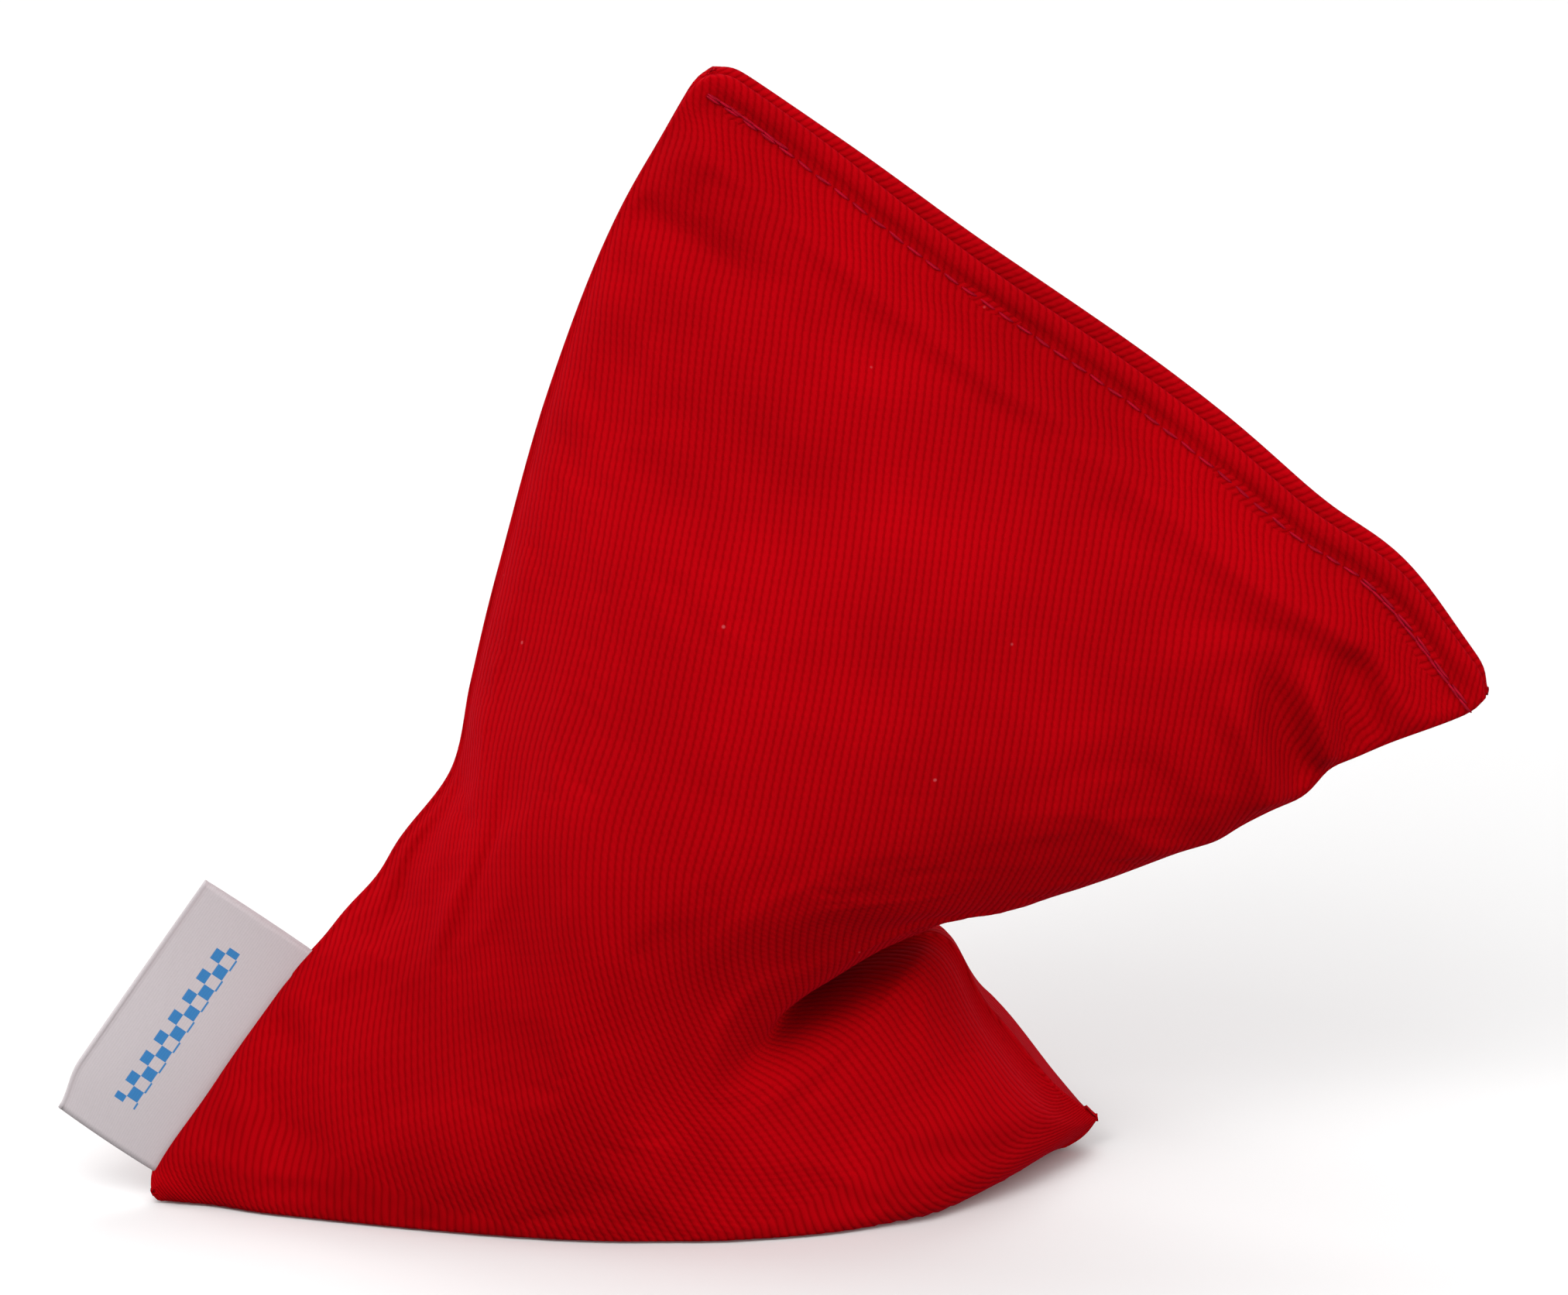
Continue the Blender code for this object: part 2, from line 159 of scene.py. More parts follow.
# Granules: lattice as (start, end, count) across, along and through, and the room kept in
# diameters between the outermost centres and the cloth.
GRANULES_ACROSS = (0.06, 0.94, 24)
GRANULES_ALONG = (0.03, 0.84, 34)
GRANULES_THROUGH = (-1.0, 1.0, 11)
GRANULE_ROOM = 1.2
GRANULE_SPACING = 0.92

# Ribbon: the strip held in the seam and the round of its fold, in millimetres; thickness, metres.
RIBBON_HELD = 1.6
RIBBON_NOSE = 0.30
RIBBON_THICKNESS = 0.00012

# Colour inputs of a colour mix node.
MIX_A = 6
MIX_B = 7

# Area lamps: name, place, what it looks at (None for the bag), side and watts.
LAMPS = (
    ("key", (-0.26, -0.52, 0.64), None, 0.55, 1.8),
    ("near", (-0.12, -0.22, 0.30), None, 0.16, 0.33),
    ("card", (0.17, -0.16, 0.02), (0.03, 0.0, 0.07), 0.12, 0.09),
    ("right", (0.70, -0.60, 0.15), None, 0.5, 1.8),
    ("left rim", (-0.80, 0.25, 0.30), None, 0.4, 2.2),
    ("back", (0.1, 0.6, 0.8), None, 0.6, 2.6),
)
FLOOR_HALF = 3.0
FLOOR_TONE = 0.86
CAMERA_AWAY = 2.0
CAMERA_TILT = 20.0
CAMERA_SENSOR = 36.0
VIEW_WIDTH = 0.1573
AIM_SIDE = 0.0004
AIM_HEIGHT = 0.476


# Wrinkles: start and end as (across, along), half width and height in millimetres.
FRONT_LINES = (
    ((0.52, 0.944), (0.92, 0.952), 0.9, -0.55),
    ((0.50, 0.925), (0.90, 0.930), 1.8, 0.35),
    ((0.91, 0.935), (1.03, 0.870), 1.9, -3.00),
    ((0.90, 0.908), (1.03, 0.850), 1.5, 2.20),
    ((0.87, 0.883), (1.02, 0.828), 1.9, -2.00),
    ((0.85, 0.862), (1.02, 0.800), 2.2, 1.40),
    ((0.83, 0.780), (1.00, 0.735), 3.0, -0.60),
    ((-0.02, 0.868), (0.15, 0.884), 2.4, -1.15),
    ((-0.02, 0.925), (0.20, 0.915), 3.0, 0.80),
    ((0.08, 0.700), (0.50, 0.860), 7.0, -0.70),
    ((0.15, 0.620), (0.55, 0.780), 5.0, 0.35),
    ((0.00, 0.420), (0.045, 0.270), 1.7, -1.60),
    ((0.055, 0.450), (0.115, 0.280), 2.2, 1.10),
    ((0.02, 0.180), (0.10, 0.090), 3.2, -1.10),
    ((0.10, 0.230), (0.17, 0.080), 3.5, 0.55),
    ((0.88, 0.090), (1.02, 0.020), 1.8, -1.00),
    ((0.84, 0.060), (0.98, 0.008), 1.6, 0.70),
    ((0.82, 0.150), (0.98, 0.110), 3.0, -0.50),
    ((0.35, 0.160), (0.62, 0.120), 5.5, -0.60),
)
BACK_LINES = (
    ((0.10, 0.948), (0.48, 0.944), 1.0, -0.50),
    ((0.90, 0.930), (1.01, 0.870), 2.0, -1.60),
    ((0.86, 0.890), (1.01, 0.830), 2.0, 0.90),
    ((-0.01, 0.900), (0.14, 0.860), 2.4, -1.20),
    ((0.00, 0.780), (0.20, 0.740), 3.5, -0.80),
    ((0.30, 0.640), (0.70, 0.780), 6.0, 0.70),
    ((0.40, 0.560), (0.80, 0.660), 5.0, -0.70),
    ((0.00, 0.420), (0.16, 0.340), 3.0, -0.90),
    ((0.75, 0.560), (0.99, 0.500), 3.0, -0.90),
    ((0.25, 0.270), (0.60, 0.220), 4.5, -0.70),
    ((0.85, 0.090), (1.00, 0.020), 2.0, -0.90),
    ((0.00, 0.130), (0.15, 0.060), 3.0, -0.80),
)


# Waves of the seams as (place, spread, millimetres): the folded side square to the rungs, by
# 'along', and the closing edge up and down, by 'across'.
FOLDED_SIDE_WAVES = (
    (0.825, 0.018, 0.45), (0.862, 0.016, -0.4), (0.745, 0.02, 0.5), (0.13, 0.06, -1.0), (0.50, 0.04, -0.8),
)
CLOSING_EDGE_WAVES = ((0.32, 0.20, -2.0), (0.88, 0.09, 3.1), (0.0, 0.08, 0.2), (0.68, 0.10, 0.5))


class BagSizes(bpy.types.PropertyGroup):
    """Sizes of the flat bag and of its sewing."""

    length: bpy.props.FloatProperty(
        name="Bag length", description="Sewn length of the flat bag", default=0.150, unit="LENGTH")
    width: bpy.props.FloatProperty(
        name="Bag width", description="Sewn width of the flat bag", default=0.100, unit="LENGTH")
    cloth: bpy.props.FloatProperty(
        name="Cloth", description="Thickness of the twill", default=0.00042, unit="LENGTH")
    rib_pitch: bpy.props.FloatProperty(
        name="Rib pitch", description="Distance between twill ribs", default=0.00076, unit="LENGTH")
    stitch: bpy.props.FloatProperty(
        name="Stitch", description="Length of one closing stitch", default=0.00235, unit="LENGTH")
    inset: bpy.props.FloatProperty(
        name="Stitch inset", description="Closing row to folded lip", default=0.0030, unit="LENGTH")
    thread: bpy.props.FloatProperty(
        name="Thread", description="Diameter of the sewing thread", default=0.00030, unit="LENGTH")
    ribbon_width: bpy.props.FloatProperty(
        name="Ribbon width", description="Width of the label ribbon", default=0.0275, unit="LENGTH")
    ribbon_reach: bpy.props.FloatProperty(
        name="Ribbon reach", description="Seam to fold of the label", default=0.0118, unit="LENGTH")
    granule: bpy.props.FloatProperty(
        name="Granule", description="Diameter of one granule", default=0.0038, unit="LENGTH")


class BagColours(bpy.types.PropertyGroup):
    """Colours of the materials."""

    twill: bpy.props.FloatVectorProperty(
        name="Twill", description="Top of the twill ribs", default=(0.44, 0.0, 0.003),
        subtype="COLOR", size=3, min=0.0, max=1.0)
    twill_shade: bpy.props.FloatVectorProperty(
        name="Twill shade", description="Gaps between the ribs", default=(0.33, 0.0, 0.002),
        subtype="COLOR", size=3, min=0.0, max=1.0)
    thread: bpy.props.FloatVectorProperty(
        name="Thread", description="Sewing thread", default=(0.47, 0.001, 0.018),
        subtype="COLOR", size=3, min=0.0, max=1.0)
    ribbon: bpy.props.FloatVectorProperty(
        name="Ribbon", description="Label ribbon", default=(0.60, 0.54, 0.56),
        subtype="COLOR", size=3, min=0.0, max=1.0)
    motif: bpy.props.FloatVectorProperty(
        name="Motif", description="Woven border on the ribbon", default=(0.02, 0.20, 0.50),
        subtype="COLOR", size=3, min=0.0, max=1.0)
    granule: bpy.props.FloatVectorProperty(
        name="Granule", description="Plastic granules", default=(0.74, 0.72, 0.66),
        subtype="COLOR", size=3, min=0.0, max=1.0)


def sizes():
    """Sizes in millimetres, by name."""
    group = bpy.context.scene.bag_sizes
    return {name: getattr(group, name) / MM for name in BagSizes.__annotations__}


def colours():
    """Colours by name."""
    group = bpy.context.scene.bag_colours
    return {name: tuple(getattr(group, name)) for name in BagColours.__annotations__}


# ---------------------------------------------------------------- shape of the bag


def smooth(value):
    """0 below 0, 1 above 1 and 3t^2 - 2t^3 between."""
    value = np.clip(value, 0.0, 1.0)
    return value * value * (3.0 - 2.0 * value)


def bell(value, centre, spread):
    """exp(-((value - centre) / spread)^2)."""
    return np.exp(-((value - centre) / spread) ** 2)


def bells(value, table):
    """Sum of height * bell(value, centre, spread) over rows of (centre, spread, height)."""
    total = 0.0
    for centre, spread, height in table:
        total = total + height * bell(value, centre, spread)
    return total


def ridge(across, along, start, end, spread):
    """A soft line from start to end, both as (across, along): a bell of the distance to it.

    The distance is taken in millimetres of flat cloth, and the line fades over its end quarters.
    """
    size = sizes()
    scale = np.array((size["width"], size["length"]))
    a = np.array(start) * scale
    b = np.array(end) * scale
    run = b - a
    reach = float(np.hypot(*run))
    run = run / reach
    x = across * scale[0] - a[0]
    y = along * scale[1] - a[1]
    place = x * run[0] + y * run[1]
    off = -x * run[1] + y * run[0]
    fade = smooth((place + 0.15 * reach) / (0.4 * reach)) * smooth((1.15 * reach - place) / (0.4 * reach))
    return np.exp(-(off / spread) ** 2) * fade


def rung_values(along):
    """Station columns at each 'along', by Catmull-Rom curves through the stations."""
    along = np.asarray(along, dtype=float)
    at = RUNGS[:, 0]
    low = np.clip(np.searchsorted(at, along, side="right") - 1, 0, len(at) - 2)
    before = RUNGS[np.maximum(low - 1, 0)]
    start = RUNGS[low]
    end = RUNGS[low + 1]
    after = RUNGS[np.minimum(low + 2, len(at) - 1)]
    step = (end[..., :1] - start[..., :1])
    t = (along[..., None] - start[..., :1]) / step
    slope_start = (end - before) / (end[..., :1] - before[..., :1]) * step
    slope_end = (after - start) / (after[..., :1] - start[..., :1]) * step
    value = (2 * t ** 3 - 3 * t ** 2 + 1) * start + (t ** 3 - 2 * t ** 2 + t) * slope_start
    value += (-2 * t ** 3 + 3 * t ** 2) * end + (t ** 3 - t ** 2) * slope_end
    return np.moveaxis(value, -1, 0)[1:]


def fold_strength(across):
    """How far the sharp fold reaches in from the folded side: 1 there, 0 at mid panel."""
    return smooth((across - 0.64) / 0.36)


def middle(across, along):
    """Middle surface: rung centre plus (across - 1/2) span along the rung, less a parabolic sag.

    The tuck pulls the folded side into its sharp inward fold.
    """
    size = sizes()
    mid_x, mid_z, span, slope, sag, half, near, far, tuck_x, tuck_z = rung_values(along)
    reach = (across - 0.5) * span * size["width"]
    slope = np.radians(slope)
    inside = np.clip(across, 0.0, 1.0)
    fold = fold_strength(across)
    x = (mid_x + fold * tuck_x) * size["length"] + reach * np.cos(slope)
    z = (mid_z + fold * tuck_z) * size["length"] + reach * np.sin(slope)
    z = z - sag * size["length"] * 4.0 * inside * (1.0 - inside)
    y = (near + (far - near) * across) * size["width"]
    return np.stack((x, y, z), axis=-1)


def bulge(across, along):
    """Standing out of the cloth: half thickness times (1 - s^2)^p, s from -1 to 1 over the rung.

    p is small where the granules fill the cloth right out to the seam and large where the cloth
    lies flat beside the seam; the sharp fold takes most of the thickness away along its valley.
    """
    size = sizes()
    half = np.maximum(rung_values(np.clip(along, 0.0, 1.0))[5], 0.0) * size["width"]
    s = 2.0 * np.clip(across, 0.0, 1.0) - 1.0
    power = 0.48 + 0.12 * np.clip(along / 0.4, 0.0, 1.0)
    power = power + 0.35 * bell(along, 0.27, 0.09) * smooth(-s / 0.6)
    power = power - 0.20 * smooth(s / 0.5) * bell(along, 0.03, 0.12)
    shape = np.maximum(1.0 - s * s, 0.0) ** power
    shape = shape * (1.0 + 0.42 * s * bell(along, 0.06, 0.14))
    centre = CREASE_ALONG - 0.05 * (1.0 - across)
    valley = 0.50 * smooth((across - 0.85) / 0.13) * bell(along, centre, CREASE_SPREAD)
    return half * shape * (1.0 - valley)


def closing_section(across, distance):
    """Cloth offset below the closing edge: bead at the lip, pinch at the stitches, then a ridge."""
    size = sizes()
    strength = 0.75 + 0.35 * np.sin(np.pi * across) + 0.12 * np.sin(across * 37.0)
    bead = 0.75 * bell(distance, 0.9, 1.2)
    pinch = -1.70 * bell(distance, size["inset"] + 0.9, 2.2)
    ridge_below = 1.05 * bell(distance, 8.2, 2.4)
    return (bead + pinch + ridge_below) * strength * smooth(np.minimum(across, 1.0 - across) / 0.05)


def creases(side, across, along):
    """Wrinkles of one panel as one height map: a sum of soft ridges and dents in millimetres."""
    size = sizes()
    s = across * size["width"]
    t = along * size["length"]
    lip = size["length"] - t
    turn = 0.9 if side == FRONT else 2.3
    height = 0.13 * np.sin(s / 7.3 + turn) * np.sin(t / 9.1 + 1.7 * turn)
    height += 0.09 * np.sin((s + 0.6 * t) / 5.1 + 2.0 * turn)
    # short puckers along the closing row and along the three sewn seams
    wave = np.sin(s / 1.15 + 2.1 * np.sin(s / 11.0 + turn)) + 0.6 * np.sin(s / 0.61 + turn)
    height += 0.10 * wave * bell(lip, size["inset"] + 0.8, 2.4)
    height += 0.20 * np.sin(s / 3.1 + 1.3 * np.sin(s / 9.0)) * bell(lip, size["inset"] + 3.5, 3.5)
    edge = np.minimum(s, size["width"] - s)
    pull = np.sin(t / 2.1 + 1.6 * np.sin(t / 9.0 + turn)) + 0.5 * np.sin(t / 1.05)
    height += 0.22 * pull * bell(edge, 2.5, 3.5)
    height += 0.22 * np.sin(s / 1.9 + 1.6 * np.sin(s / 7.0 + turn)) * bell(t, 4.0, 4.0)
    lines = FRONT_LINES if side == FRONT else BACK_LINES
    for start, end, spread, depth in lines:
        height += depth * ridge(across, along, start, end, spread)
    return height * smooth(edge / 2.2) * smooth(t / 4.0)


def seam_offset(along):
    """Cloth outer face to middle surface beside a seam; thicker at the hemmed closing edge."""
    lip = sizes()["length"] * (1.0 - along)
    return SEAM_OFFSET + (LIP_OFFSET - SEAM_OFFSET) * smooth(1.0 - lip / 14.0)


def edge_shift(across, along):
    """Shift in the plane of the panel that gives the seams their waves, as x and z."""
    size = sizes()
    lip = size["length"] * (1.0 - along)
    slope = np.radians(rung_values(along)[3])
    out = -1.3 * bell(along, 0.88, 0.06) * smooth((across - 0.6) / 0.4)
    out = out + bells(along, FOLDED_SIDE_WAVES) * smooth((across - 0.85) / 0.15)
    left = 0.85 * smooth((0.24 - along) / 0.06) - 0.8 * bell(along, 0.29, 0.03)
    out = out - left * smooth((0.4 - across) / 0.4)
    rise = bells(across, CLOSING_EDGE_WAVES) * smooth(1.0 - lip / 30.0)
    return out * np.cos(slope), out * np.sin(slope) + rise


def cloth_point(side, across, along):
    """Outer face of one panel, in millimetres before placing.

    middle() plus side * (seam offset + bulge + closing section + creases) in depth, plus the
    waves of the seams. Dents are held back by a tanh so that they stop short of the middle
    surface. Corners are rounded towards the panel's middle. The part below the floor is pressed
    flat on it, z being replaced by half of (z + sqrt(z^2 + c^2)).
    """
    size = sizes()
    point = middle(across, along * CLOTH_SHARE)
    lip = size["length"] * (1.0 - along)
    out = bulge(across, along) * smooth(lip / 9.0 + 0.25)
    relief = closing_section(across, lip) + creases(side, across, along)
    room = 0.75 * out + 0.9 * smooth(1.0 - lip / 9.0) + 0.02
    relief = np.where(relief < 0.0, -room * np.tanh(-relief / room), relief)
    offset = seam_offset(along) + out + relief
    shift_x, shift_z = edge_shift(across, along)
    centre = middle(np.array(0.5), np.array(0.55))
    near_side = np.minimum(across, 1.0 - across) * size["width"]
    near_end = np.minimum(along, 1.0 - along) * size["length"]
    blunt = CORNER_CUT * np.clip(1.0 - near_side / CORNER_ROUND, 0.0, 1.0) ** 2
    blunt = blunt * np.clip(1.0 - near_end / CORNER_ROUND, 0.0, 1.0) ** 2
    run_x = centre[0] - point[..., 0]
    run_z = centre[2] - point[..., 2]
    reach = np.maximum(np.hypot(run_x, run_z), 1.0)
    x = point[..., 0] + shift_x + blunt * run_x / reach
    y = point[..., 1] + side * offset
    z = point[..., 2] + shift_z + blunt * run_z / reach
    if side == BACK:
        # the back lip stands a little higher than the front one
        rise = smooth(1.0 - lip / 8.0) * (0.4 + smooth(np.sin(np.pi * np.clip(across, 0.0, 1.0))))
        x = x + rise * 0.6
        z = z + rise * 0.8
    z = FLOOR_GAP + 0.5 * (z - FLOOR_GAP + np.sqrt((z - FLOOR_GAP) ** 2 + FLOOR_PRESS ** 2))
    return np.stack((x, y, z), axis=-1)


def placing():
    """Shift from the functions' own place to the frame, from the label hinge in the record.

    The hinge stands HINGE_OUT outside the straight line between two points of the label side,
    half a label width up that line.
    """
    low = middle(np.array(0.0), np.array(0.020))
    run = middle(np.array(0.0), np.array(0.25)) - low
    run /= np.linalg.norm(run)
    out = np.array((-run[2], 0.0, run[0]))
    out /= np.linalg.norm(out)
    joint = frame["record"]["behaviour"]["joints"][0]
    return np.array(joint["pos_m"]) / MM - (low + 0.5 * CAD_LABEL * run + HINGE_OUT * out)


# ---------------------------------------------------------------- meshes


def new_piece(name, points, faces, material, body):
    """A mesh object at the origin from points in millimetres and a list or array of faces."""
    if isinstance(faces, np.ndarray):
        faces = faces.tolist()
    mesh = bpy.data.meshes.new(name)
    mesh.from_pydata((points * MM).tolist(), [], faces)
    mesh.polygons.foreach_set("use_smooth", np.full(len(mesh.polygons), True))
    mesh.materials.append(material)
    mesh.update()
    piece = bpy.data.objects.new(name, mesh)
    bpy.context.collection.objects.link(piece)
    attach(piece, body)
    return piece


def grid_faces(rows, columns, flip=False, wrap=False):
    """Quads of a grid of rows x columns points; wrap joins the last column to the first."""
    row = np.arange(rows - 1)[:, None]
    column = np.arange(columns if wrap else columns - 1)[None, :]
    after = (column + 1) % columns
    quads = np.stack((
        row * columns + column, row * columns + after,
        (row + 1) * columns + after, (row + 1) * columns + column,
    ), axis=-1).reshape(-1, 4)
    return quads[:, ::-1] if flip else quads


def set_uv(piece, values):
    """Store one pair of numbers per point as the piece's UV map."""
    mesh = piece.data
    layer = mesh.uv_layers.new(name="UVMap")
    index = np.empty(len(mesh.loops), dtype=np.int64)
    mesh.loops.foreach_get("vertex_index", index)
    layer.data.foreach_set("uv", np.asarray(values, dtype=np.float32)[index].ravel())


def tube_arrays(path, radius, sides):
    """Points and faces of a capped tube: path plus radius times a circle square to the path."""
    run = np.gradient(path, axis=0)
    run /= np.linalg.norm(run, axis=1)[:, None]
    helper = np.tile(np.array((0.0, 1.0, 0.0)), (len(path), 1))
    out = helper - run * np.sum(helper * run, axis=1)[:, None]
    out /= np.linalg.norm(out, axis=1)[:, None]
    flank = np.cross(run, out)
    angle = np.linspace(0.0, 2.0 * np.pi, sides, endpoint=False)
    radius = np.broadcast_to(radius, (len(path),))[:, None, None]
    circle = np.cos(angle)[None, :, None] * out[:, None] + np.sin(angle)[None, :, None] * flank[:, None]
    points = (path[:, None] + radius * circle).reshape(-1, 3)
    faces = grid_faces(len(path), sides, wrap=True).tolist()
    faces.append(list(range(sides))[::-1])
    faces.append([(len(path) - 1) * sides + k for k in range(sides)])
    return points, faces


# ---------------------------------------------------------------- materials


def feed(tree, node, values):
    """Link each socket to the node's input of that name or number, or set a plain value on it."""
    for key, value in values.items():
        if isinstance(value, bpy.types.NodeSocket):
            tree.links.new(value, node.inputs[key])
        else:
            node.inputs[key].default_value = value


def node_maker(tree):
    """Two short ways to add nodes to a tree: any node, and a maths node's result."""
    def add(kind, values=None, **settings):
        node = tree.nodes.new(kind)
        for key, value in settings.items():
            setattr(node, key, value)
        feed(tree, node, values or {})
        return node

    def calc(operation, *values):
        return add("ShaderNodeMath", dict(enumerate(values)), operation=operation).outputs[0]

    return add, calc


def twill_group():
    """Shader group: diagonal twill ribs from cloth coordinates in millimetres.

    Rib phase is (0.878 s + 0.479 t) / pitch, a little bent by slow noise. The rib profile is
    |sin|, cut along the rib into slanting floats by a second wave.
    """
    name = "twill ribs"
    if name in bpy.data.node_groups:
        return bpy.data.node_groups[name]
    tree = bpy.data.node_groups.new(name, "ShaderNodeTree")
    face = tree.interface
    face.new_socket("Cloth", in_out="INPUT", socket_type="NodeSocketVector")
    for label, value in (("Pitch", 0.76), ("Float", 0.62), ("Wander", 0.35)):
        face.new_socket(label, in_out="INPUT", socket_type="NodeSocketFloat").default_value = value
    for label in ("Height", "Gap", "Patch"):
        face.new_socket(label, in_out="OUTPUT", socket_type="NodeSocketFloat")
    add, calc = node_maker(tree)
    given = add("NodeGroupInput").outputs
    slow = add("ShaderNodeTexNoise", {"Vector": given["Cloth"], "Scale": 0.10, "Detail": 2.0})
    part = add("ShaderNodeSeparateXYZ", {0: given["Cloth"]}).outputs
    bend = calc("MULTIPLY", slow.outputs[0], given["Wander"])
    square = calc("MULTIPLY_ADD", part[1], 0.479, calc("MULTIPLY", part[0], 0.878))
    phase = calc("DIVIDE", calc("ADD", square, bend), given["Pitch"])
    rib = calc("ABSOLUTE", calc("SINE", calc("MULTIPLY", phase, math.pi)))
    follow = calc("MULTIPLY_ADD", part[1], 0.94, calc("MULTIPLY", part[0], 0.35))
    floats = calc("SINE", calc("MULTIPLY", calc("DIVIDE", follow, given["Float"]), 2.0 * math.pi))
    fuzz = add("ShaderNodeTexNoise", {"Vector": given["Cloth"], "Scale": 3.2, "Detail": 2.0})
    height = calc("MULTIPLY_ADD", fuzz.outputs[0], 0.22, calc("MULTIPLY_ADD", floats, 0.10, rib))
    gap = add("ShaderNodeMapRange", {"Value": height, "From Min": 0.30, "From Max": 0.85,
                                     "To Min": 1.0, "To Max": 0.0})
    patch = add("ShaderNodeTexNoise", {"Vector": given["Cloth"], "Scale": 0.045, "Detail": 3.0})
    add("NodeGroupOutput", {"Height": height, "Gap": gap.outputs[0], "Patch": patch.outputs[0]})
    return tree


def new_material(name, slot_colour):
    """A node material with its tree, its Principled shader and a viewport colour."""
    material = bpy.data.materials.new(name)
    material.use_nodes = True
    material.diffuse_color = (*slot_colour, 1.0)
    return material, material.node_tree, material.node_tree.nodes["Principled BSDF"]


def twill_material():
    """Red cotton twill: shaded gaps between ribs, slow colour patches, stray pale fibres."""
    name = "red twill"
    if name in bpy.data.materials:
        return bpy.data.materials[name]
    paint = colours()
    material, tree, shader = new_material(name, paint["twill"])
    add, _ = node_maker(tree)
    cloth = add("ShaderNodeUVMap", uv_map="UVMap")
    scaled = add("ShaderNodeVectorMath", {0: cloth.outputs[0], 1: (UV_SCALE, UV_SCALE, 0.0)},
                 operation="MULTIPLY").outputs[0]
    ribs = add("ShaderNodeGroup", node_tree=twill_group())
    feed(tree, ribs, {"Cloth": scaled, "Pitch": sizes()["rib_pitch"]})
    base = add("ShaderNodeMix", {"Factor": ribs.outputs["Gap"], MIX_A: (*paint["twill"], 1.0),
                                 MIX_B: (*paint["twill_shade"], 1.0)}, data_type="RGBA")
    warm = add("ShaderNodeMapRange", {"Value": ribs.outputs["Patch"], "From Min": 0.35, "From Max": 0.65,
                                      "To Min": 0.88, "To Max": 1.06})
    tone = add("ShaderNodeVectorMath", operation="SCALE")
    feed(tree, tone, {0: base.outputs[2], "Scale": warm.outputs[0]})
    specks = add("ShaderNodeTexVoronoi", {"Vector": scaled, "Scale": 0.11, "Randomness": 1.0})
    dot = add("ShaderNodeMapRange", {"Value": specks.outputs["Distance"], "From Min": 0.012,
                                     "From Max": 0.026, "To Min": 0.35, "To Max": 0.0})
    final = add("ShaderNodeMix", {"Factor": dot.outputs[0], MIX_A: tone.outputs[0],
                                  MIX_B: (0.75, 0.18, 0.20, 1.0)}, data_type="RGBA")
    rough = add("ShaderNodeMapRange", {"Value": ribs.outputs["Gap"], "To Min": 0.78, "To Max": 0.95})
    bump = add("ShaderNodeBump", {"Height": ribs.outputs["Height"], "Strength": 0.45,
                                  "Distance": 0.00022})
    feed(tree, shader, {
        "Base Color": final.outputs[2], "Roughness": rough.outputs[0], "Normal": bump.outputs[0],
        "Specular IOR Level": 0.02, "Sheen Weight": 0.18, "Sheen Roughness": 0.4,
        "Sheen Tint": (1.0, 0.01, 0.06, 1.0)})
    return material


def thread_material():
    """Twisted sewing thread: a fine diagonal wave in object space."""
    name = "red thread"
    if name in bpy.data.materials:
        return bpy.data.materials[name]
    paint = colours()
    material, tree, shader = new_material(name, paint["thread"])
    add, _ = node_maker(tree)
    place = add("ShaderNodeTexCoord")
    wave = add("ShaderNodeTexWave", {"Vector": place.outputs["Object"], "Scale": 900.0, "Distortion": 1.5},
               bands_direction="DIAGONAL")
    # painted shade: the thread colour is taken down to 0.62 along the low part of the twist wave, in the
    # grooves between the plies
    dark = [0.62 * value for value in paint["thread"]]
    mix = add("ShaderNodeMix", {"Factor": wave.outputs[1], MIX_A: (*dark, 1.0),
                                MIX_B: (*paint["thread"], 1.0)}, data_type="RGBA")
    bump = add("ShaderNodeBump", {"Height": wave.outputs[1], "Strength": 0.4, "Distance": 0.00005})
    feed(tree, shader, {
        "Base Color": mix.outputs[2], "Normal": bump.outputs[0], "Roughness": 0.7,
        "Specular IOR Level": 0.1, "Sheen Weight": 0.1, "Sheen Tint": (1.0, 0.05, 0.15, 1.0)})
    return material


# ---------------------------------------------------------------- cloth panels


def cloth_coordinates(grid):
    """Cloth millimetres of a grid of points: arc length along each rung from the panel's middle
    column, and arc length along the middle column."""
    step = np.linalg.norm(np.diff(grid, axis=1), axis=2)
    s = np.concatenate((np.zeros((grid.shape[0], 1)), np.cumsum(step, axis=1)), axis=1)
    centre = grid.shape[1] // 2
    s = s - s[:, centre:centre + 1]
    column = grid[:, centre]
    t = np.concatenate(([0.0], np.cumsum(np.linalg.norm(np.diff(column, axis=0), axis=1))))
    return s, np.broadcast_to(t[:, None], s.shape)


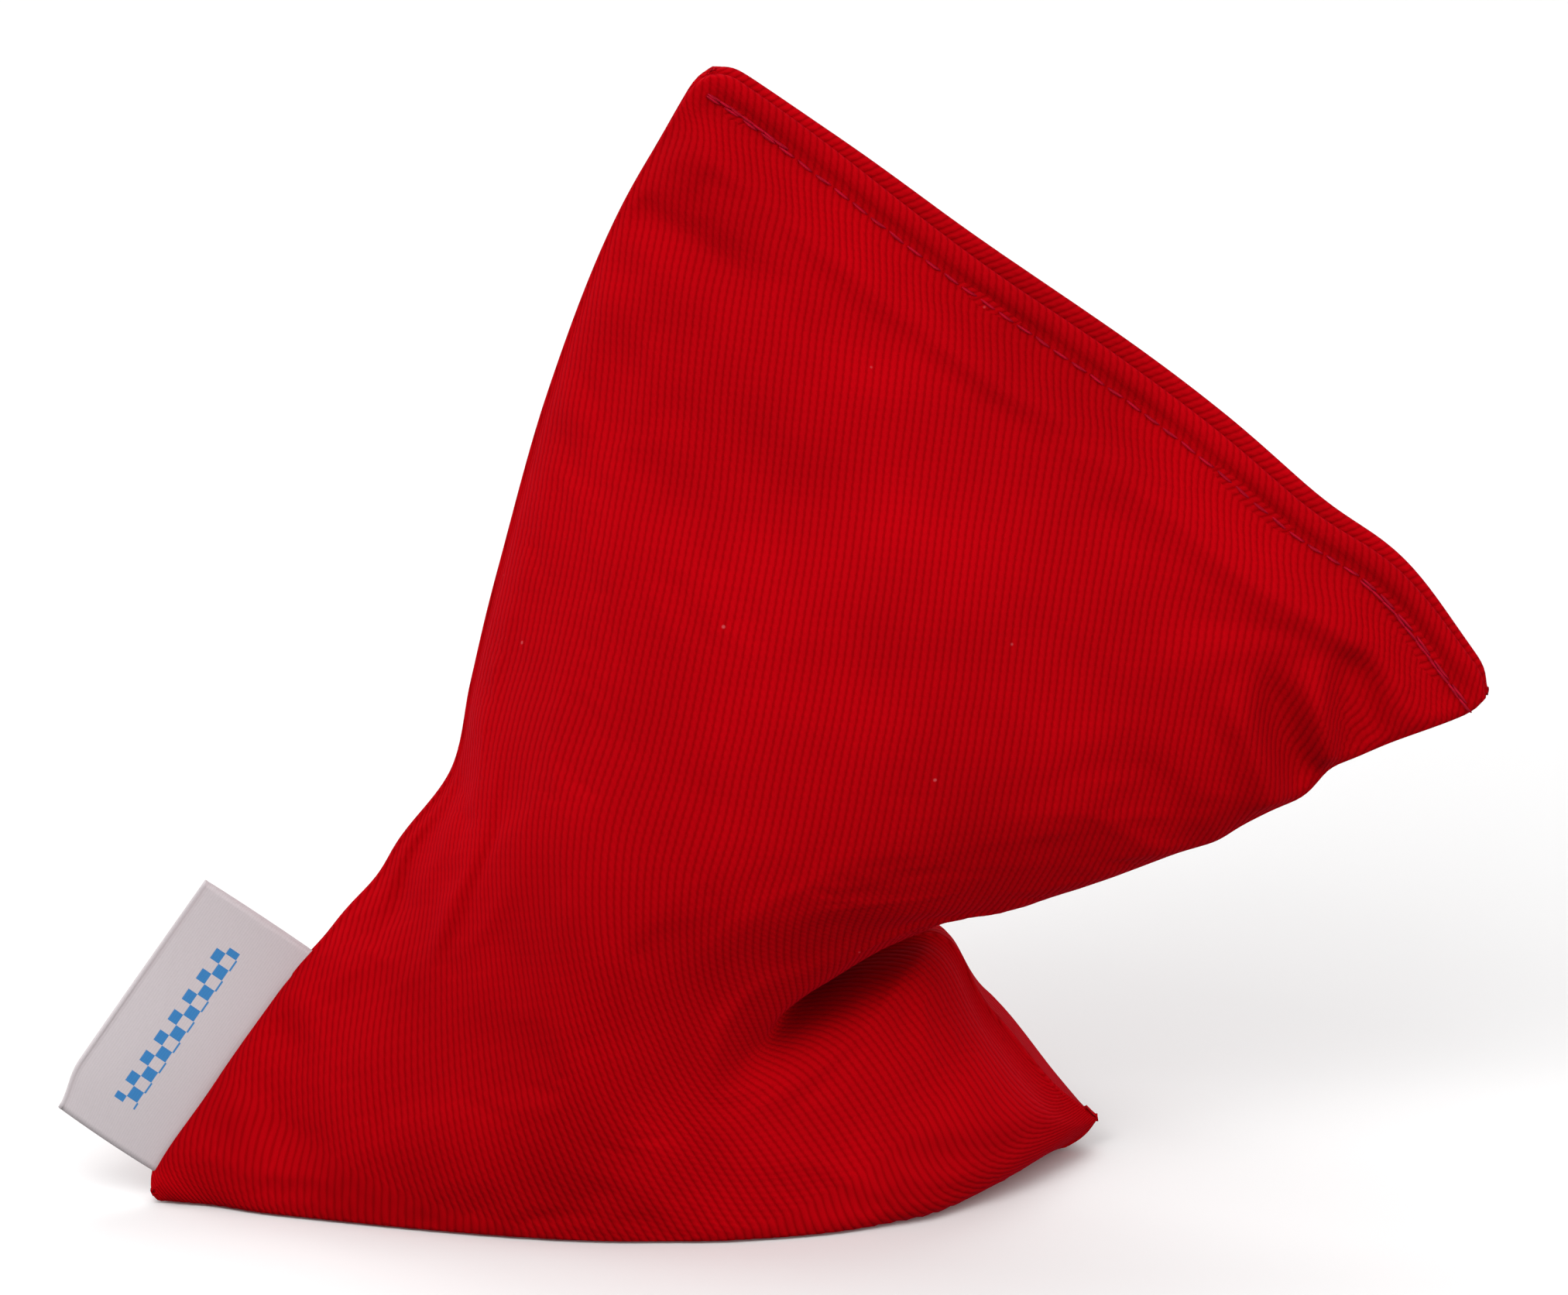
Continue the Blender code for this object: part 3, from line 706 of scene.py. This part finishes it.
def settle(piece, pins):
    """A short cloth simulation on one panel, its seams pinned, applied to the mesh.

    The cloth is let out by four thousandths and blown up a little so that it buckles softly. A
    point that moves by m is taken only to cap * tanh(m / cap).
    """
    scene = bpy.context.scene
    before = np.empty(len(piece.data.vertices) * 3)
    piece.data.vertices.foreach_get("co", before)
    group = piece.vertex_groups.new(name="sewn")
    for weight in np.unique(np.round(pins[pins > 0.0], 2)):
        group.add(np.nonzero(np.round(pins, 2) == weight)[0].tolist(), float(weight), "REPLACE")
    cloth = piece.modifiers.new("settle", "CLOTH")
    for name, value in SETTLE.items():
        setattr(cloth.settings, name, value)
    cloth.settings.effector_weights.gravity = 0.0
    cloth.collision_settings.use_collision = False
    cloth.point_cache.frame_start = 1
    cloth.point_cache.frame_end = SETTLE_FRAMES
    for number in range(1, SETTLE_FRAMES + 1):
        scene.frame_set(number)
    result = piece.evaluated_get(bpy.context.evaluated_depsgraph_get())
    after = np.empty_like(before)
    result.data.vertices.foreach_get("co", after)
    piece.modifiers.remove(cloth)
    piece.vertex_groups.remove(group)
    scene.frame_set(1)
    move = (after - before).reshape(-1, 3)
    size = np.linalg.norm(move, axis=1)
    limit = SETTLE_CAP * MM
    scale = np.where(size > 0.0, limit * np.tanh(size / limit) / np.maximum(size, 1e-12), 0.0)
    moved = before.reshape(-1, 3) + move * scale[:, None]
    moved[:, 2] = np.maximum(moved[:, 2], SETTLE_FLOOR)
    piece.data.vertices.foreach_set("co", moved.ravel())
    piece.data.update()


def turned_border(side, edge, inner, offset, depths):
    """Cloth turned over an edge: half a circle round it, then back inside the bag.

    edge holds the outermost points of the outer face, inner points well inside them, and offset
    is how far the edge stands from the middle surface. Outwards is square to the line of the
    edge in the upright plane and fades near the ends, which rounds the corners; the rows behind
    the turn run towards the inner points.
    """
    run = np.gradient(edge, axis=0)
    out = np.stack((-run[:, 2], np.zeros(len(run)), run[:, 0]), axis=-1)
    out /= np.linalg.norm(out, axis=1)[:, None]
    out *= np.sign(np.sum(out * (edge - inner) * UPRIGHT))
    turn = np.array((0.0, -side, 0.0))
    inwards = (inner - edge) * UPRIGHT
    inwards /= np.linalg.norm(inwards, axis=1)[:, None]
    radius = 0.5 * (offset - SEAM_GAP)[:, None]
    step = np.linalg.norm(np.diff(edge, axis=0), axis=1)
    place = np.concatenate(([0.0], np.cumsum(step)))
    to_end = np.minimum(place, place[-1] - place)[:, None]
    out = out * (1.0 - TURN_TAPER * np.exp(-(to_end / TURN_TAPER_REACH) ** 2))
    rows = []
    for angle in np.radians(TURN_ANGLES):
        rows.append(edge + turn * radius * (1.0 - math.cos(angle)) + out * radius * math.sin(angle))
    turned = rows[-1]
    for depth in depths:
        rows.append(turned + inwards * depth)
    rows = np.array(rows)
    rows[..., 2] = np.maximum(rows[..., 2], FLOOR_GAP)
    return rows


def build_panel(side):
    """One panel: the outer cloth grid with its turned-in borders, thickened inwards.

    Grid lines stand closer together beside the seams and the closing edge. A corner block is
    the sum of the two borders that meet there.
    """
    size = sizes()
    across = np.linspace(0.0, 1.0, COLUMNS)
    across = 0.6 * across + 0.4 * (0.5 - 0.5 * np.cos(np.pi * across))
    along = np.linspace(0.0, 1.0, ROWS)
    along = along + 0.04 * np.sin(2.0 * np.pi * along) / (2.0 * np.pi) - 0.012 * np.sin(np.pi * along)
    u, v = np.meshgrid(across, along)
    outer = cloth_point(side, u, v)
    offset = seam_offset(along)
    left = turned_border(side, outer[:, 0], outer[:, 20], offset, SIDE_ROWS)
    right = turned_border(side, outer[:, -1], outer[:, -20], offset, SIDE_ROWS)
    hem = turned_border(side, outer[-1], outer[-20], np.full(COLUMNS, LIP_OFFSET), HEM_ROWS)
    low = turned_border(side, outer[0], outer[20], np.full(COLUMNS, SEAM_OFFSET), FLOOR_ROWS)

    def corner(rows_part, columns_part, point, offset):
        block = rows_part[:, None] + columns_part[None] - point
        depth = np.maximum(offset - side * (point[1] - block[..., 1]), SEAM_GAP)
        block[..., 1] = point[1] - side * (offset - depth)
        return block

    left_part, right_part = left[::-1], right
    top = np.concatenate((
        corner(hem[:, 0], left_part[:, -1], outer[-1, 0], LIP_OFFSET), hem,
        corner(hem[:, -1], right_part[:, -1], outer[-1, -1], LIP_OFFSET)), axis=1)
    bottom = np.concatenate((
        corner(low[:, 0], left_part[:, 0], outer[0, 0], SEAM_OFFSET), low,
        corner(low[:, -1], right_part[:, 0], outer[0, -1], SEAM_OFFSET)), axis=1)
    main = np.concatenate((left_part.swapaxes(0, 1), outer, right_part.swapaxes(0, 1)), axis=1)
    side_columns = len(left)
    grid = np.concatenate((bottom[::-1], main, top), axis=0) + placing()
    s, t = cloth_coordinates(grid)
    rows, columns = grid.shape[:2]
    faces = grid_faces(rows, columns, flip=side == BACK)
    name = "twill_front" if side == FRONT else "twill_back"
    piece = new_piece(name, grid.reshape(-1, 3), faces, twill_material(), "bag")
    shift = 0.0 if side == FRONT else BACK_UV_SHIFT
    set_uv(piece, np.stack(((s + shift) / UV_SCALE, t / UV_SCALE), axis=-1).reshape(-1, 2))
    edge = np.minimum(u, 1.0 - u) * size["width"]
    lip = (1.0 - v) * size["length"]
    hold = np.maximum(1.0 - edge / 4.0, 1.0 - v * size["length"] / 10.0)
    hold = np.maximum(hold, 1.0 - (lip - 3.0) / 3.0)
    hold = np.maximum(hold, fold_strength(u) * bell(v, CREASE_ALONG, 1.6 * CREASE_SPREAD))
    hold = np.where(outer[..., 2] < 1.2, 1.0, hold)
    pins = np.ones((rows, columns))
    pins[len(low):len(low) + ROWS, side_columns:-side_columns] = np.clip(hold, 0.0, 1.0)
    settle(piece, pins.ravel())
    wall = piece.modifiers.new("cloth thickness", "SOLIDIFY")
    wall.thickness = size["cloth"] * MM
    wall.offset = -1.0
    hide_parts("front_panel" if side == FRONT else "back_panel")


class BAG_OT_panels(bpy.types.Operator):
    """Make the two twill panels with their turned-in borders."""

    bl_idname = "bag.panels"
    bl_label = "Twill panels"

    def execute(self, context):
        build_panel(FRONT)
        build_panel(BACK)
        return {"FINISHED"}


# ---------------------------------------------------------------- sewing


def closing_stitches():
    """Stitches of the closing row: start and end fractions across the bag, and millimetres off
    the row. Both ends are sewn over a second time."""
    size = sizes()
    step = size["stitch"] / size["width"]
    row = np.arange(ROW_START, ROW_END, step)
    tack_low = ROW_START + np.arange(0.0, TACK_START, TACK_PITCH * step)
    tack_high = ROW_END - np.arange(0.0, TACK_END, TACK_PITCH * step)[::-1]
    starts = np.concatenate((row, tack_low, tack_high))
    drift = np.concatenate((
        np.zeros(len(row)), np.full(len(tack_low), TACK_OFF), np.full(len(tack_high), -TACK_OFF)))
    return starts, starts + STITCH_SHARE * step, drift


def build_closing_thread(side):
    """Each stitch is a short bowed capsule on the cloth: a line from needle hole to needle hole
    raised by a sine, carried round by a circle."""
    size = sizes()
    starts, ends, drift = closing_stitches()
    radius = 0.5 * size["thread"]
    points, faces = [], []
    place = placing()
    count = 0
    along = 1.0 - size["inset"] / size["length"]
    part = np.linspace(0.0, 1.0, 6)
    for index, (start, end, off) in enumerate(zip(starts, ends, drift)):
        tilt = 0.12 * math.sin(2.4 * index + side)
        u = start + (end - start) * part
        v = along + (off + tilt * (part - 0.5)) / size["length"]
        lift = 0.5 * size["cloth"] - 0.25 * size["thread"]
        lift = lift + 0.55 * size["thread"] * np.sin(np.pi * part)
        path = cloth_point(side, u, v)
        path[:, 1] += side * lift
        girth = radius * (0.45 + 0.55 * np.sin(np.pi * part) ** 0.5)
        piece_points, piece_faces = tube_arrays(path + place, girth, 6)
        points.append(piece_points)
        faces.extend([[k + count for k in face] for face in piece_faces])
        count += len(piece_points)
    name = "closing_stitches_front" if side == FRONT else "closing_stitches_back"
    piece = new_piece(name, np.concatenate(points), faces, thread_material(), "bag")
    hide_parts("closing_needle_thread" if side == FRONT else "closing_bobbin_thread")


def build_seam_thread(side):
    """One thread of the three sewn seams: a tube along a line SEAM_INSET inside the edge, half
    way between the panels, its distance from the middle a cosine of the stitch pitch."""
    size = sizes()
    inset_u = SEAM_INSET / size["width"]
    inset_v = SEAM_INSET / size["length"]
    down = np.linspace(0.94, inset_v, 240)
    floor = np.linspace(inset_u, 1.0 - inset_u, 200)[1:-1]
    turn_u = np.concatenate((np.full(len(down), inset_u), floor, np.full(len(down), 1.0 - inset_u)))
    turn_v = np.concatenate((down, np.full(len(floor), inset_v), down[::-1]))
    path = 0.5 * (cloth_point(FRONT, turn_u, turn_v) + cloth_point(BACK, turn_u, turn_v))
    run = np.concatenate(([0.0], np.cumsum(np.linalg.norm(np.diff(path, axis=0), axis=1))))
    path[:, 1] += side * (0.20 + 0.06 * np.cos(2.0 * np.pi * run / size["stitch"]))
    path[:, 2] = np.maximum(path[:, 2], 0.6)
    points, faces = tube_arrays(path + placing(), 0.5 * size["thread"], 6)
    name = "seam_thread_front" if side == FRONT else "seam_thread_back"
    piece = new_piece(name, points, faces, thread_material(), "bag")
    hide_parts("seam_needle_thread" if side == FRONT else "seam_bobbin_thread")


class BAG_OT_sewing(bpy.types.Operator):
    """Make the closing row on both faces and the hidden threads of the seams."""

    bl_idname = "bag.sewing"
    bl_label = "Sewing"

    def execute(self, context):
        build_closing_thread(FRONT)
        build_closing_thread(BACK)
        build_seam_thread(FRONT)
        build_seam_thread(BACK)
        return {"FINISHED"}


# ---------------------------------------------------------------- filling


def granule_material():
    """Pale plastic granules: slightly different tones from granule to granule."""
    paint = colours()
    material, tree, shader = new_material("pale granules", paint["granule"])
    add, _ = node_maker(tree)
    place = add("ShaderNodeTexCoord")
    noise = add("ShaderNodeTexNoise", {"Vector": place.outputs["Object"], "Scale": 260.0})
    dark = [0.8 * value for value in paint["granule"]]
    mix = add("ShaderNodeMix", {"Factor": noise.outputs[0], MIX_A: (*dark, 1.0),
                                MIX_B: (*paint["granule"], 1.0)}, data_type="RGBA")
    bump = add("ShaderNodeBump", {"Height": noise.outputs[0], "Strength": 0.2, "Distance": 0.0001})
    feed(tree, shader, {"Base Color": mix.outputs[2], "Normal": bump.outputs[0], "Roughness": 0.45})
    return material


class BAG_OT_filling(bpy.types.Operator):
    """Fill the bag with granules on a jittered lattice inside the cloth."""

    bl_idname = "bag.filling"
    bl_label = "Granules"

    def execute(self, context):
        size = sizes()
        grain = size["granule"]
        u, v, w = np.meshgrid(
            np.linspace(*GRANULES_ACROSS), np.linspace(*GRANULES_ALONG), np.linspace(*GRANULES_THROUGH),
            indexing="ij")
        u, v, w = u.ravel(), v.ravel(), w.ravel()
        rng = np.random.default_rng(7)
        u = u + rng.uniform(-0.012, 0.012, len(u))
        v = v + rng.uniform(-0.007, 0.007, len(v))
        mid = middle(u, v)
        room = bulge(u, v) - GRANULE_ROOM * grain
        keep = (room > 0.3) & (mid[:, 2] > grain) & (v * size["length"] > 6.0)
        # none in the sharp fold
        keep &= (np.abs(v - CREASE_ALONG) > 0.17) | (u < 0.72)
        mid[:, 1] += room * w
        centre = mid[keep] + placing()
        # no two granules in one cell of a cubic lattice
        cell = np.round(centre / (GRANULE_SPACING * grain)).astype(int)
        _, first = np.unique(cell, axis=0, return_index=True)
        centre = centre[np.sort(first)]
        ball = bpy.data.meshes.new("grain shape")
        bm = bmesh.new()
        bmesh.ops.create_icosphere(bm, subdivisions=1, radius=0.5)
        bm.to_mesh(ball)
        bm.free()
        shape = np.array([vertex.co[:] for vertex in ball.vertices])
        cells = np.array([face.vertices[:] for face in ball.polygons])
        bpy.data.meshes.remove(ball)
        stretch = rng.uniform(0.66, 0.86, (len(centre), 1, 3)) * grain
        points = (centre[:, None] + shape[None] * stretch).reshape(-1, 3)
        faces = (cells[None] + len(shape) * np.arange(len(centre))[:, None, None]).reshape(-1, 3)
        piece = new_piece("granules", points, faces, granule_material(), "bag")
        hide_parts("granule_filling")
        return {"FINISHED"}


# ---------------------------------------------------------------- label


def ribbon_material():
    """White satin ribbon: fine warp lines, and a woven border of small blue checks."""
    paint = colours()
    size = sizes()
    material, tree, shader = new_material("white ribbon", paint["ribbon"])
    add, calc = node_maker(tree)
    uv = add("ShaderNodeUVMap", uv_map="UVMap").outputs[0]
    part = add("ShaderNodeSeparateXYZ", {0: uv}).outputs

    def within(value, centre, half):
        return calc("LESS_THAN", calc("ABSOLUTE", calc("SUBTRACT", value, centre)), half)

    checks = add("ShaderNodeTexChecker", {"Vector": uv, "Scale": 80.0})
    run = within(part[0], 0.5 * size["ribbon_width"] / UV_SCALE, 0.095)
    band = within(part[1], 0.62 * size["ribbon_reach"] / UV_SCALE, 0.0125)
    motif = calc("MULTIPLY", calc("MULTIPLY", run, band), checks.outputs[1])
    warp = calc("SINE", calc("MULTIPLY", part[1], 2400.0))
    noise = add("ShaderNodeTexNoise", {"Vector": uv, "Scale": 300.0, "Detail": 2.0}).outputs[0]
    line = calc("MULTIPLY_ADD", warp, 0.3, noise)
    mix = add("ShaderNodeMix", {"Factor": motif, MIX_A: (*paint["ribbon"], 1.0),
                                MIX_B: (*paint["motif"], 1.0)}, data_type="RGBA")
    tone = add("ShaderNodeMapRange", {"Value": line, "To Min": 0.9, "To Max": 1.0})
    colour = add("ShaderNodeVectorMath", operation="SCALE")
    feed(tree, colour, {0: mix.outputs[2], "Scale": tone.outputs[0]})
    bump = add("ShaderNodeBump", {"Height": line, "Strength": 0.25, "Distance": 0.00005})
    rough = add("ShaderNodeMapRange", {"Value": noise, "To Min": 0.38, "To Max": 0.55})
    feed(tree, shader, {"Base Color": colour.outputs[0], "Normal": bump.outputs[0],
                        "Roughness": rough.outputs[0], "Sheen Weight": 0.2})
    return material


class BAG_OT_label(bpy.types.Operator):
    """Make the ribbon label, folded on itself and caught in the side seam."""

    bl_idname = "bag.label"
    bl_label = "Ribbon label"

    def execute(self, context):
        size = sizes()
        joint = next(item for item in frame["record"]["behaviour"]["joints"] if item["child"] == "label")
        run = np.array(joint["axis"], dtype=float)
        out = np.array((-run[2], 0.0, run[0]))
        out /= np.linalg.norm(out)
        root = np.array(joint["pos_m"]) / MM - out * RIBBON_HELD
        reach = size["ribbon_reach"] + RIBBON_HELD
        across = np.linspace(0.0, 1.0, 45)
        # section: up the front layer, round the fold, down the back layer
        flat = np.linspace(0.0, 1.0, 26)
        gap = 0.16 + 0.42 * np.abs(np.sin(np.pi * flat)) ** 0.8
        turn = np.radians(np.linspace(-80.0, 80.0, 9))
        straight = reach - RIBBON_NOSE
        front = np.stack((flat * straight, -gap), axis=-1)
        bend = np.stack((
            straight + RIBBON_NOSE * np.cos(turn), RIBBON_NOSE * 0.75 * np.sin(turn)), axis=-1)
        back = np.stack((flat[::-1] * straight, gap[::-1]), axis=-1)
        section = np.concatenate((front, bend, back))
        length = np.concatenate(([0.0], np.cumsum(np.linalg.norm(np.diff(section, axis=0), axis=1))))
        place = (across - 0.5) * size["ribbon_width"]
        tired = 1.0 - 0.075 * smooth((0.18 - across) / 0.18)
        lift = 0.35 * np.sin(2.6 * across + 0.4)[None, :] * (section[:, :1] / reach)
        outwards = section[:, :1] * tired[None, :]
        deep = section[:, 1:] * (1.0 + 0.4 * np.sin(5.0 * across)[None, :]) + lift
        points = root + run * place[None, :, None] + out * outwards[..., None]
        points = points + np.array((0.0, 1.0, 0.0)) * deep[..., None]
        faces = grid_faces(len(section), len(across))
        piece = new_piece("ribbon_label", points.reshape(-1, 3), faces, ribbon_material(), "label")
        uv = np.stack((
            np.broadcast_to(across * size["ribbon_width"], deep.shape) / UV_SCALE,
            np.broadcast_to(length[:, None], deep.shape) / UV_SCALE), axis=-1)
        set_uv(piece, uv.reshape(-1, 2))
        wall = piece.modifiers.new("ribbon thickness", "SOLIDIFY")
        wall.thickness = RIBBON_THICKNESS
        wall.offset = 0.0
        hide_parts("side_label")
        return {"FINISHED"}


# ---------------------------------------------------------------- stage


def look_at(item, place, target):
    """Put an object at a place with its -Z axis towards a target."""
    item.location = place
    item.rotation_euler = (Vector(target) - Vector(place)).to_track_quat("-Z", "Y").to_euler()
    bpy.context.collection.objects.link(item)


def make_floor():
    """A pale square under the bag that throws no light back on it."""
    half = FLOOR_HALF
    mesh = bpy.data.meshes.new("floor")
    mesh.from_pydata([(-half, -half, 0), (half, -half, 0), (half, half, 0), (-half, half, 0)], [],
                     [(0, 1, 2, 3)])
    floor = bpy.data.objects.new("floor", mesh)
    material, tree, shader = new_material("pale floor", (0.9, 0.9, 0.9))
    feed(tree, shader, {"Base Color": (FLOOR_TONE, FLOOR_TONE, FLOOR_TONE, 1.0), "Roughness": 0.9})
    mesh.materials.append(material)
    bpy.context.collection.objects.link(floor)
    floor.visible_diffuse = False


def make_world():
    """White surroundings that brighten from below to above."""
    world = bpy.data.worlds.new("studio")
    world.use_nodes = True
    add, _ = node_maker(world.node_tree)
    way = add("ShaderNodeTexCoord")
    part = add("ShaderNodeSeparateXYZ", {0: way.outputs["Generated"]})
    level = add("ShaderNodeMapRange", {"Value": part.outputs[2], "From Min": -0.5, "From Max": 0.6,
                                       "To Min": 0.15, "To Max": 0.74})
    feed(world.node_tree, world.node_tree.nodes["Background"], {
        "Color": (1.0, 1.0, 1.0, 1.0), "Strength": level.outputs[0]})
    bpy.context.scene.world = world


def make_camera(target):
    """A long lens that looks down on the target at CAMERA_TILT degrees."""
    lens = bpy.data.cameras.new("camera")
    lens.sensor_width = CAMERA_SENSOR
    lens.lens = CAMERA_SENSOR * CAMERA_AWAY / VIEW_WIDTH
    camera = bpy.data.objects.new("camera", lens)
    tilt = math.radians(CAMERA_TILT)
    look_at(camera, target + Vector((0.0, -math.cos(tilt), math.sin(tilt))) * CAMERA_AWAY, target)
    bpy.context.scene.camera = camera


class BAG_OT_stage(bpy.types.Operator):
    """Make the pale floor, the soft lights and the camera."""

    bl_idname = "bag.stage"
    bl_label = "Stage"

    def execute(self, context):
        low, high = CAD_BOX
        target = Vector((0.5 * (low[0] + high[0]) + AIM_SIDE, 0.0, AIM_HEIGHT * high[2]))
        make_floor()
        for name, place, aim, side, power in LAMPS:
            lamp = bpy.data.lights.new(name, "AREA")
            lamp.size = side
            lamp.energy = power
            look_at(bpy.data.objects.new(name, lamp), place, aim or target)
        make_world()
        context.scene.view_settings.view_transform = "Standard"
        make_camera(target)
        return {"FINISHED"}


class BAG_PT_panel(bpy.types.Panel):
    """Sidebar list of the pieces, sizes and colours."""

    bl_idname = "BAG_PT_panel"
    bl_label = "Bean Bag"
    bl_space_type = "VIEW_3D"
    bl_region_type = "UI"
    bl_category = "Bean Bag"

    def draw(self, context):
        for group in (context.scene.bag_sizes, context.scene.bag_colours):
            for name in type(group).__annotations__:
                self.layout.prop(group, name)
        for kind in OPERATORS:
            self.layout.operator(kind.bl_idname)


OPERATORS = (BAG_OT_panels, BAG_OT_sewing, BAG_OT_filling, BAG_OT_label, BAG_OT_stage)
CLASSES = (BagSizes, BagColours, *OPERATORS, BAG_PT_panel)


def register():
    """Register the classes and put the settings on the scene."""
    for kind in CLASSES:
        bpy.utils.register_class(kind)
    bpy.types.Scene.bag_sizes = bpy.props.PointerProperty(type=BagSizes)
    bpy.types.Scene.bag_colours = bpy.props.PointerProperty(type=BagColours)


def unregister():
    """Take the settings and the classes away again."""
    del bpy.types.Scene.bag_colours
    del bpy.types.Scene.bag_sizes
    for kind in reversed(CLASSES):
        bpy.utils.unregister_class(kind)


def main():
    """Build every piece in order."""
    register()
    bpy.ops.bag.panels()
    bpy.ops.bag.sewing()
    bpy.ops.bag.filling()
    bpy.ops.bag.label()
    bpy.ops.bag.stage()
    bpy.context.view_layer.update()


if __name__ == "__main__":
    main()
